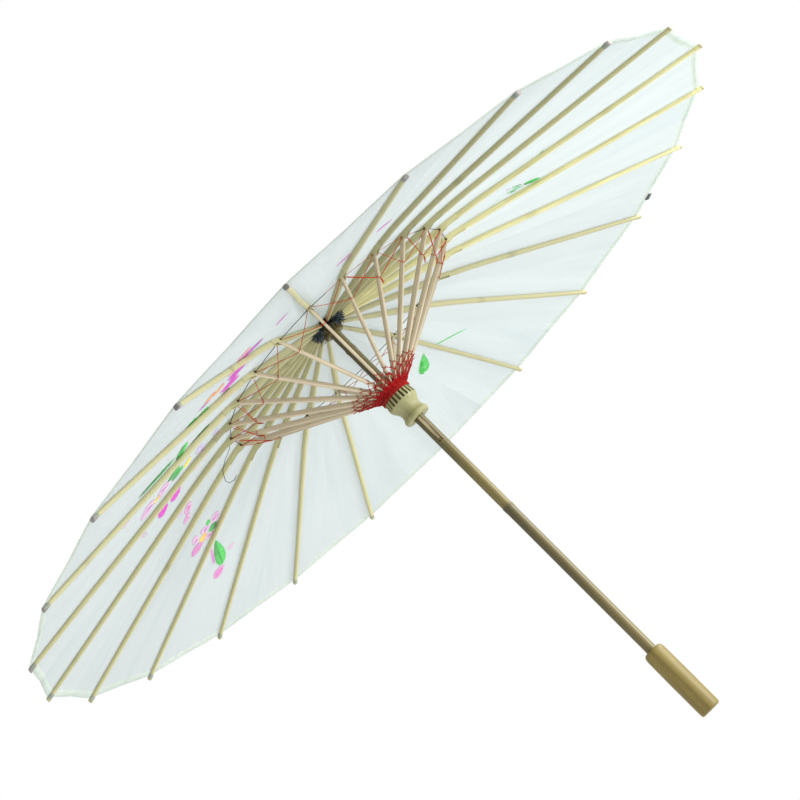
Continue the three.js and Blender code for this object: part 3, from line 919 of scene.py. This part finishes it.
def stroke(start, end, width, inner, outer, bend=0.0, full=0.45, strength=1.0, glow=0.0):
    """One brush mark from start to end, widest at the share full of its length and paler
    along its middle by the share glow."""
    along = end - start
    across = Vector((-along.y, along.x)).normalized()
    grid, tints, fades = [], [], []
    for i in range(13):
        u = i / 12
        body = sin(pi * u ** (log(0.5) / log(full))) ** 0.7
        middle = start + along * u + across * bend * sin(pi * u)
        tint = [a + (b - a) * u for a, b in zip(inner, outer)]
        row, tint_row, fade_row = [], [], []
        for j in range(7):
            v = j / 3 - 1
            row.append(middle + across * (width * 0.58 * body * v + 1e-4 * j))
            edge = 1 - abs(v) ** 2.5
            pale = glow * (1 - abs(v)) ** 0.7
            tint_row.append([c * (0.78 + 0.22 * edge) * (1 - pale) + pale for c in tint])
            fade_row.append(strength * min(1, edge * 2.4) * min(1, 5 * u + 0.2, 7 * (1 - u)))
        grid.append(row)
        tints.append(tint_row)
        fades.append(fade_row)
    lay(grid, tints, fades)


def placed(start, end, width):
    """Both (radius, degrees) ends as flat spots, and a step as long as the width across."""
    a, b = polar(*start), polar(*end)
    return a, b, Vector((a.y - b.y, b.x - a.x)).normalized() * width


def mark(start, end, width, inner, outer=None, **settings):
    """A brush mark between two (radius, degrees) places on the cloth."""
    stroke(polar(*start), polar(*end), width, inner, outer or inner, **settings)


def petal(start, end, width, tint, edge=PURPLE, strength=0.9):
    """A notched petal: two overlapping halves with a darker edge and fine veins."""
    a, b, across = placed(start, end, width)
    dusk = [0.65 * t + 0.35 * e for t, e in zip(tint, edge)]
    for side in (-1, 1):
        stroke(a, b + across * 0.2 * side, width * 0.66, tint, dusk, full=0.6,
               bend=width * 0.12 * side, strength=strength, glow=0.45 if edge is PURPLE else 0)
    for side in (-0.3, 0.02, 0.28):
        stroke(a.lerp(b, 0.15), a.lerp(b, 0.92) + across * side, width * 0.08, edge, dusk,
               strength=0.75)


def streaks(start, end, width, count, inner, outer=None, **settings):
    """Several brush marks side by side."""
    a, b, across = placed(start, end, width)
    for i in range(count):
        share = (i + 0.5) / count - 0.5
        slip = (b - a) * (0.18 if i % 2 else -0.12)
        stroke(a + across * share + slip, b + across * share + slip, width / count, inner,
               outer or inner, **settings)


def leaf(start, end, width, tint=LEAF, tip=LEAF, strength=0.95, full=0.45):
    """A leaf with one dark side and a midrib."""
    a, b, across = placed(start, end, width)
    stroke(a, b, width, tint, tip, full=full, strength=strength)
    stroke(a, b, width * 0.45, MOSS, tip, bend=width * 0.26, full=full, strength=strength * 0.9)
    stroke(a, b + across * 0.05, width * 0.07, MOSS, MOSS, strength=strength * 0.8)


gores = {k: make_gore(k) for k in range(1, RIBS + 1)}

# the open flower and the bright one beside it
petal((218, 210.5), (238, 210.5), 20, PINK)
petal((239, 209.5), (261, 210), 23, PINK)
mark((233, 209), (243, 210), 9, ORANGE, YELLOW)
petal((217, 198), (201, 196.5), 16, MAGENTA, MAGENTA)
petal((219, 198), (235, 198), 22, MAGENTA, MAGENTA)
leaf((222, 218.5), (250, 219), 12, LEAF, MOSS, 0.75)
leaf((226, 223.5), (288, 223), 11, LEAF, MOSS, 0.75)
mark((281, 215.5), (295, 217), 10, BLUSH, strength=0.5)
mark((250, 198.5), (258, 198), 16, BLUSH, strength=0.5)
mark((264, 200), (277, 202.5), 8, BLUSH, strength=0.6)
# the small flower further on, two green dots and a bud
petal((202, 179), (213, 180.5), 19, BLUSH, MAGENTA)
petal((213, 175), (221, 177), 13, BLUSH, MAGENTA)
mark((212, 182.5), (218, 183.5), 9, PINK, LAVENDER, strength=0.8)
mark((209, 169), (215, 170), 10, LEAF, strength=0.8)
mark((221, 160.5), (227, 161.5), 9, LEAF, strength=0.8)
petal((226, 159.5), (215, 157), 15, PINK)
leaf((228, 155.5), (236, 158.5), 12, MOSS, LEAF)
# the second flower with its big leaf
petal((238, 162.5), (247, 163.5), 16, PINK)
petal((237, 160.5), (227, 160.5), 17, PINK)
petal((238, 157.5), (246, 156.5), 13, PINK)
petal((247, 158), (260, 161.5), 14, PINK, MAGENTA)
mark((238, 158.5), (247, 160.5), 13, ORANGE, YELLOW)
leaf((250, 153), (295, 145), 15, full=0.64)
petal((295, 144.5), (308, 147), 15, PINK, MAGENTA)
mark((258, 153.5), (288, 148.5), 3, PINK, MAGENTA)
mark((268, 144), (277, 145), 10, BLUSH, strength=0.6)
# long marks at one side of the flowers
mark((207, 258), (236, 253), 15, PURPLE, MAGENTA)
streaks((230, 254), (243, 251), 48, 3, CORAL, PINK)
streaks((183, 246.5), (206, 242.5), 44, 4, MAGENTA)
streaks((235, 246.5), (238, 242.5), 30, 2, CORAL, ORANGE)
mark((236, 243), (254, 241.5), 6, PURPLE)
leaf((172, 237.5), (198, 234), 10)
streaks((231, 239), (238, 234), 38, 2, LEAF, MOSS)
leaf((170, 220.5), (205, 219.5), 10)
leaf((223, 227), (215, 218.5), 15)
mark((147, 207), (155, 206), 18, LAVENDER, strength=0.75)
mark((168, 208.5), (179, 206.5), 23, LAVENDER, strength=0.75)
mark((188, 209), (199, 209.5), 15, YELLOW)
mark((176, 199.5), (186, 199), 17, CORAL, PINK, strength=0.8)
streaks((202, 212), (221, 211), 24, 2, LEAF, MOSS)
for r, degrees, width in ((202, 264, 17), (198, 284, 18), (209, 296, 14)):
    mark((r + 4, degrees + 2.5), (r - 4, degrees - 2.5), width, PINK, MAGENTA, strength=0.6)
# the green drop and its stem, the sprig and small tips across from the flowers
mark((215, 76.5), (251, 82), 15, LEAF, full=0.68, strength=0.75)
mark((222, 78.5), (250, 82.5), 7, MOSS, LEAF, full=0.7, strength=0.5)
mark((217, 76.5), (259, 66), 2.6, LEAF, strength=0.62)
mark((185, 8), (200, 4.2), 2.6, LEAF, strength=0.42)
mark((203, 3.6), (222, 5.6), 13, LEAF, strength=0.36)
streaks((206, 3.4), (220, 6.4), 14, 3, LEAF, MOSS, strength=0.5)
leaf((220, 5), (240, 7.8), 8, strength=0.75)
mark((203, 1.2), (209, 2.4), 3.2, PURPLE, LAVENDER, strength=0.5)
mark((230, 357), (254, 350), 3, LEAF, MOSS, strength=0.55)
leaf((235, 355.4), (245, 352.6), 7, strength=0.7)

# ---- putting the folding pieces in place ----
for k in range(1, RIBS + 1):
    number = f"{k:02d}"
    rib = make_rib(k)
    make_stretcher(k)

    canopy = finish_piece(gores[k].make(), f"rib_{number}", "canopy_cloth", "canopy")
    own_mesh(canopy)
    width = 2 * CLOTH_R * tan(PITCH / 2) * MM

    for thread_piece, node, slot in ((make_ring_thread(k), "joint_thread", "dark_thread"),
                                     (make_rim_thread(k), "rim_thread", "pale_thread")):
        finish_piece(thread_piece, f"rib_{number}", slot, node)
        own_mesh(thread_piece)

    net = finish_piece(make_net(k), f"stretcher_{number}", "red_thread", "runner_thread")
    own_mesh(net)

# ---- frayed dark thread round the notch ----
TURNS, TUFT_STRANDS, LOOSE_STRANDS = 7, 1000, 420


def finish_thread(piece):
    return finish_piece(piece.make(), "pole", "dark_thread", "notch_thread")


fray = Piece("notch_fray", DARK)
rng = random.Random(9)
for turn in range(TURNS):
    z = HUB_Z - 4.2 + 0.95 * turn
    ring = []
    for t in circle(44):
        out = 13.6 + 0.4 * sin(3 * t + turn)
        ring.append((out * cos(t), out * sin(t), z + 0.2 * sin(5 * t)))
    fray.tube(ring, 0.62, sides=5, closed=True)
for side in (-1, 1):  # both ends of the winding are cut short and spread into a tuft
    tuft = Piece("tuft_left" if side < 0 else "tuft_right", DARK, TUFT)
    heart = Vector((side * 10.5, -9.0, HUB_Z - 4.0))
    for i in range(TUFT_STRANDS):
        up = rng.uniform(-1, 1)
        t = rng.uniform(0, 2 * pi)
        flat = sqrt(1 - up * up)
        way = Vector((flat * cos(t) + side * 0.3, flat * sin(t) - 0.35, up - 0.1))
        reach = rng.uniform(4.0, 7.0)
        bent = heart + way * reach * 0.6
        tip = bent + (way + Vector((rng.uniform(-0.4, 0.4), rng.uniform(-0.4, 0.4),
                                    rng.uniform(-0.4, 0.4)))) * reach * 0.4
        # the shorter strands in a tuft's middle take the paler thread: painted sheen
        tuft.tube([heart + way * rng.uniform(0, 1.5), bent, tip], 0.2, sides=3,
                  slot=1 if reach < 6.4 else 0)
    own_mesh(finish_thread(tuft))
for i in range(LOOSE_STRANDS):
    t = rng.uniform(0, 2 * pi)
    start = Vector((13.8 * cos(t), 13.8 * sin(t), HUB_Z + rng.uniform(-8, 1.5)))
    way = t + rng.uniform(-0.8, 0.8)
    along = Vector((cos(way), sin(way), rng.uniform(-0.8, 0.1)))
    fray.tube([start, start + along * rng.uniform(1, 4)], 0.16, sides=3)
finish_thread(fray)

# ---- what stays from the frame ----
for name, material in (("notch_pin", RIB_WOOD), ("catch_pin", DARK_WOOD)):
    node = frame["nodes"][name]
    node.data.materials.clear()
    node.data.materials.append(material)

# ---- camera, light and floor ----
AZIMUTH, ELEVATION, ROLL = (radians(a) for a in (0.15, -13.78, -45.05))
DISTANCE, FOCAL = 1.7575, 87.29
back = Vector((sin(AZIMUTH) * cos(ELEVATION), -cos(AZIMUTH) * cos(ELEVATION), sin(ELEVATION)))
flat_right = Vector((cos(AZIMUTH), sin(AZIMUTH), 0))
flat_up = back.cross(flat_right)
right = cos(ROLL) * flat_right + sin(ROLL) * flat_up
up = back.cross(right)
camera = bpy.data.objects.new("camera", bpy.data.cameras.new("camera"))
camera.matrix_world = Matrix((right, up, back)).transposed().to_4x4()
camera.location = back * DISTANCE + Vector((0, 0, TIP_Z * MM))
camera.data.lens, camera.data.sensor_width = FOCAL, 36
camera.data.shift_x, camera.data.shift_y = 0.0179, -0.0195
camera.data.clip_start = 0.01
bpy.context.scene.collection.objects.link(camera)
bpy.context.scene.camera = camera

world = bpy.data.worlds.new("studio")
world.use_nodes = True
world.node_tree.nodes["Background"].inputs["Color"].default_value = (1, 1, 1, 1)
bpy.context.scene.world = world
bpy.context.scene.view_settings.view_transform = "Standard"


def soft_light(name, at, towards, size, power):
    data = bpy.data.lights.new(name, "AREA")
    data.size, data.energy = size, power
    lamp = bpy.data.objects.new(name, data)
    lamp.location = at
    lamp.rotation_euler = (Vector(towards) - Vector(at)).to_track_quat("-Z", "Y").to_euler()
    bpy.context.scene.collection.objects.link(lamp)


soft_light("key", (2.2, -0.5, 0.2), (0, 0, 0.2), 0.8, 60)
soft_light("top", (2.25, 0.9, 1.3), (0.1, 0, 0.45), 0.9, 56)

floor_shader = Shader("floor")
spots = floor_shader.noise((3, 3, 3), 3.0)
floor_shader.finish(floor_shader.add("ShaderNodeBsdfPrincipled", {
    "Base Color": floor_shader.ramp(spots, (0.3, (0.90, 0.90, 0.90)), (0.7, (0.92, 0.92, 0.92))),
    "Roughness": 1.0, "Specular IOR Level": 0.0,
    "Emission Color": (1, 1, 1, 1), "Emission Strength": 0.16}))
FLOOR_Z = -1200  # so low that a camera beside the handle can look up
SIDE = 9000  # from the floor's middle to each side
floor = Piece("floor", floor_shader.material)
floor.face([floor.point((x, y, FLOOR_Z), (x, y, 0))
            for x, y in ((-SIDE, -SIDE), (SIDE, -SIDE), (SIDE, SIDE), (-SIDE, SIDE))])
floor.make()
